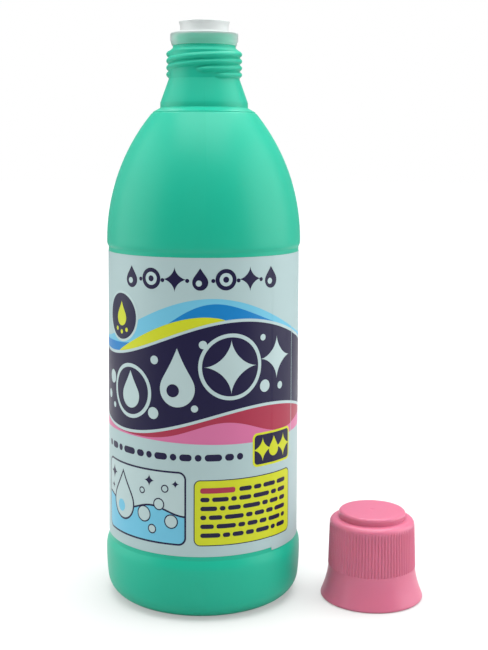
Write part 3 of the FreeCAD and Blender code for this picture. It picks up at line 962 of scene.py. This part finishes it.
def makeTopRow():
    # navy drops, rings and sparkles in a row over the field, with a dot between each two
    z = printShape["rowZ"]
    step = printShape["rowStep"]
    for i in range(-3, 4):
        s = i * step
        if i % 3 == 0:
            drop("navy", 1, s, z - 1.0, 2.9, 5.2)
            disc("pale", 2, s - 0.5, z - 1.3, 1.1)
        elif i % 3 == 1:
            disc("navy", 1, s, z, 3.9)
            disc("pale", 2, s, z, 2.4)
            disc("navy", 3, s, z, 1.1)
        else:
            sparkle("navy", 1, s, z, 4.6)
        if i < 3:
            disc("navy", 1, s + step / 2, z - 0.4, 0.75)


def makeBadge(s, z, radius):
    # round navy badge with a pale rim, a lime drop and three lime dots
    disc("pale", 5, s, z, radius + 0.9)
    disc("navy", 6, s, z, radius)
    drop("lime", 7, s, z - 0.6, 3.0, 6.2)
    for away in (-3.2, 0, 3.2):
        disc("lime", 7, s + away, z - radius * 0.68 + abs(away) * 0.3, 0.8)


def makeBubblePanel(s, z, wide, high):
    # cyan panel with water, a large drop and bubbles
    bar("navy", 1, s, z, wide, high, 3.0)
    bar("pale", 2, s, z, wide - 1.4, high - 1.4, 2.3)
    water = along(s - wide / 2 + 0.7, s + wide / 2 - 0.7)
    level = z - high * 0.05 + 1.6 * np.sin((water - s) / wide * 3 * math.pi)
    bed = z - roundedHalf(water - s, wide - 1.4, high - 1.4, 2.3)
    layInk("navy", 3, water, bed, level + 0.35)
    layInk("cyan", 4, water, bed, level - 0.35)
    drop("navy", 5, s - wide * 0.2, z - 1.5, 6.6, 12.6)
    drop("pale", 6, s - wide * 0.2, z - 1.5, 5.9, 11.3)
    disc("cyan", 7, s - wide * 0.2 - 1.2, z - 3.0, 2.3)
    for away, up, radius in ((0.08, -3.5, 3.1), (0.24, 1.0, 2.3), (0.36, -5.0, 2.7), (0.17, -8.6, 1.8),
                             (0.30, 7.0, 1.5), (0.06, 5.2, 1.3)):
        disc("navy", 5, s + wide * away, z + up, radius)
        disc("pale", 6, s + wide * away, z + up, radius - 0.45)
    for away, up, radius in ((0.14, 9.4, 2.2), (-0.38, 8.6, 2.6), (0.40, 9.0, 1.5), (-0.40, 3.2, 1.3)):
        sparkle("navy", 5, s + wide * away, z + up, radius)


def makeLimePanel(s, z, wide, high, rows):
    # lime panel with a navy rim, one red bar and rows of plain navy bars
    bar("navy", 1, s, z, wide, high, 2.4)
    bar("lime", 2, s, z, wide - 0.7, high - 0.7, 2.05)
    left = s - wide / 2 + 2.4
    right = s + wide / 2 - 2.2
    rowStep = (high - 4.6) / rows
    top = z + high / 2 - 2.3 - rowStep / 2
    bar("red", 3, left + 6.5, top, 13, rowStep * 0.62, rowStep * 0.25)
    dashRows("navy", 3, left + 14.5, right, top, 1, rowStep, rowStep * 0.5, (5.2, 3.4, 6.0), 0.9)
    dashRows("navy", 3, left, right, top - rowStep, rows - 1, rowStep, rowStep * 0.5,
             (3.4, 6.2, 2.2, 5.0, 7.4, 2.8, 4.4), 0.9)


def makeTag(s, z, wide, high):
    # navy tag with three lime motifs
    bar("lime", 4, s, z, wide + 1.6, high + 1.6, 2.0)
    bar("navy", 5, s, z, wide, high, 1.4)
    sparkle("lime", 6, s - wide * 0.3, z, high * 0.40)
    drop("lime", 6, s, z - 0.8, high * 0.22, high * 0.46)
    sparkle("lime", 6, s + wide * 0.3, z, high * 0.40)


def makeBackPanel(s, z, wide, high):
    # pale panel on the back with a row of dots, rows of plain bars and a lime box; it covers the waves
    bar("navy", 8, s, z, wide, high, 4.0)
    bar("white", 9, s, z, wide - 1.0, high - 1.0, 3.5)
    left = s - wide / 2 + 4
    right = s + wide / 2 - 4
    top = z + high / 2 - 6
    bar("navy", 10, s, top, wide - 8, 6.0, 3.0)
    for i in range(-4, 5):
        disc("lime" if i % 2 else "white", 11, s + i * 8.6, top, 1.5)
    dashRows("navy", 10, left, right, top - 8.5, 9, 4.4, 1.7, (9.0, 5.0, 12.0, 3.6, 7.4, 15.0, 4.4), 1.5)
    boxZ = z - high / 2 + 11
    bar("navy", 10, s, boxZ, wide - 8, 15, 2.0)
    bar("lime", 11, s, boxZ, wide - 8.8, 14.2, 1.6)
    bar("red", 12, left + 12, boxZ + 4.4, 18, 2.6, 1.3)
    dashRows("navy", 12, left + 3, right - 3, boxZ, 2, 4.2, 1.7, (6.0, 11.0, 4.0, 8.5, 13.0), 1.5)


def makePrint():
    # all motifs, then the strips of each ink joined into one piece
    makeWaves()
    for lap in (0, -1):
        makeFieldMotifs(lap * math.pi * labelR)
    makeTopRow()
    makeBadge(-34.5, 111.0, 8.6)
    makeTag(30.2, 62.6, 18.5, 11.0)
    dashRows("navy", 1, -46, 18.5, 61.2, 1, 4.0, 2.5, (2.5, 4.6, 2.5, 6.4, 3.4, 2.5, 5.2), 1.1)
    makeBubblePanel(-25.5, 42.2, 41.0, 27.5)
    makeLimePanel(19.0, 40.8, 42.5, 24.5, 6)
    makeBackPanel(-106.0, 75.0, 92.0, 74.0)
    for name, strips in printed.items():
        offsets = np.cumsum([0] + [len(points) for points, quads in strips[:-1]])
        points = np.concatenate([strip[0] for strip in strips])
        quads = np.concatenate([strip[1] + offset for strip, offset in zip(strips, offsets)])
        piece = addMesh("print_" + name, points, [quads])
        piece.data.set_sharp_from_angle(angle=sharpEdge)
        colour = np.array(inkColours[name])
        look = dict(inkLook, colour=colour, tone=colour * 1.05)
        finished(piece, plastic(name + "Ink", look), "label")
    print("print laid")


makeCamera()
makeFloor()
makeSky()
makeLamps()
print("stage made")
makeBottle()
makePlug()
makeCap()
makeFilm()
print("main pieces made")
makePrint()

scene = bpy.context.scene
scene.view_settings.view_transform = "Standard"
